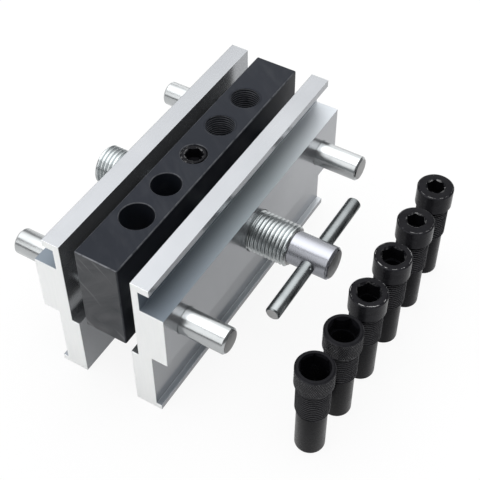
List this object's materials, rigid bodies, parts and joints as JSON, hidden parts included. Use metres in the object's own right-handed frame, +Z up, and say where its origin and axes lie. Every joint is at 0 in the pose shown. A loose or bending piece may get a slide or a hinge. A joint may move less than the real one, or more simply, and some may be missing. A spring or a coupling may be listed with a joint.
{
  "type": "self centering doweling jig",
  "caption": "Self centering doweling jig: drilled steel guide block on cross rods between mirrored aluminium jaws drawn together by a double ended screw, with loose threaded drill bushings.",
  "frame": {"origin": "middle of the guide block's underside, the face that rests on the board's edge", "axes": "+X along the clamping direction towards the handle bar, +Y along the row of guide holes from the large plain hole to the threaded seats, +Z up"},
  "size_m": [0.1625, 0.1564, 0.0873],
  "materials": {
    "block_steel": "black oxide, lightly oiled",
    "jaw_aluminium": "satin extrusion, clear anodised",
    "rod_steel": "bright zinc plated",
    "screw_steel": "bright zinc plated",
    "bar_steel": "bright zinc plated",
    "grub_steel": "black oxide",
    "bushing_steel": "black oxide, hardened"
  },
  "bodies": {
    "block": {"guide_block": "block_steel", "front_rod": "rod_steel", "rear_rod": "rod_steel", "retaining_screw": "grub_steel"},
    "left_jaw": {"left_jaw": "jaw_aluminium"},
    "right_jaw": {"right_jaw": "jaw_aluminium"},
    "screw": {"lead_screw": "screw_steel", "tommy_bar": "bar_steel"},
    "bushing_3_16": {"bushing_3_16": "bushing_steel"},
    "bushing_1_4": {"bushing_1_4": "bushing_steel"},
    "bushing_5_16": {"bushing_5_16": "bushing_steel"},
    "bushing_3_8": {"bushing_3_8": "bushing_steel"},
    "bushing_7_16": {"bushing_7_16": "bushing_steel"},
    "bushing_1_2": {"bushing_1_2": "bushing_steel"}
  },
  "joints": [
    {"name": "right_jaw_slide", "type": "slide", "parent": "block", "child": "right_jaw", "axis": [1, 0, 0], "range_m": [-0.007, 0.015]},
    {"name": "left_jaw_slide", "type": "slide", "parent": "block", "child": "left_jaw", "axis": [-1, 0, 0], "range_m": [-0.0071, 0.0151]},
    {"name": "screw_turn", "type": "hinge", "parent": "block", "child": "screw", "pos_m": [0, 0, 0.017], "axis": [1, 0, 0], "range_deg": [-1261, 2701]},
    {"name": "lift_bushing_3_16", "type": "slide", "parent": "block", "child": "bushing_3_16", "axis": [0, 0, 1], "range_m": [0, 0.06]},
    {"name": "lift_bushing_1_4", "type": "slide", "parent": "block", "child": "bushing_1_4", "axis": [0, 0, 1], "range_m": [0, 0.06]},
    {"name": "lift_bushing_5_16", "type": "slide", "parent": "block", "child": "bushing_5_16", "axis": [0, 0, 1], "range_m": [0, 0.06]},
    {"name": "lift_bushing_3_8", "type": "slide", "parent": "block", "child": "bushing_3_8", "axis": [0, 0, 1], "range_m": [0, 0.06]},
    {"name": "lift_bushing_7_16", "type": "slide", "parent": "block", "child": "bushing_7_16", "axis": [0, 0, 1], "range_m": [0, 0.06]},
    {"name": "lift_bushing_1_2", "type": "slide", "parent": "block", "child": "bushing_1_2", "axis": [0, 0, 1], "range_m": [0, 0.06]}
  ],
  "couplings": [
    {"joint": "left_jaw_slide", "follows": "right_jaw_slide", "ratio": 1},
    {"joint": "screw_turn", "follows": "right_jaw_slide", "rad_per_m": 3141.6}
  ]
}
